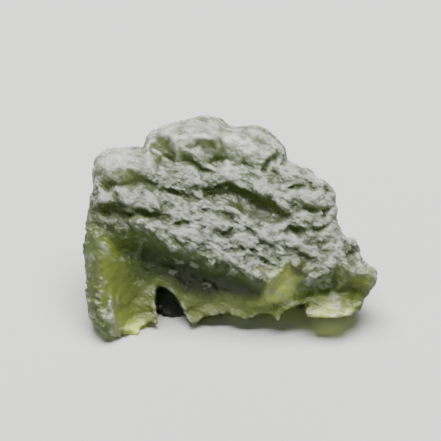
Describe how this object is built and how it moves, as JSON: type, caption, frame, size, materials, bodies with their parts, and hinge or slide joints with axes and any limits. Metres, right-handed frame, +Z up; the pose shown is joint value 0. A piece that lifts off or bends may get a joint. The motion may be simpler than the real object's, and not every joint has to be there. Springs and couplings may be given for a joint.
{
  "type": "raw moldavite",
  "caption": "Uncut piece of natural olive-green glass, a leaning wedge with an etched, lobed and grooved skin and a toothed, hollowed lower lip; it lies on its own base",
  "frame": {"origin": "the middle of the bounding box at its bottom, on the surface that the stone lies on", "axes": "+X to the right along the stone's length, as its broad face is seen; -Y towards the viewer, the way the broad face looks; +Z up"},
  "size_m": [0.0364, 0.0234, 0.0193],
  "materials": {
    "green_glass": "olive-green natural glass, satin to frosted on its etched ridges and glossier in its hollows"
  },
  "bodies": {
    "root": {"moldavite": "green_glass"}
  },
  "joints": []
}
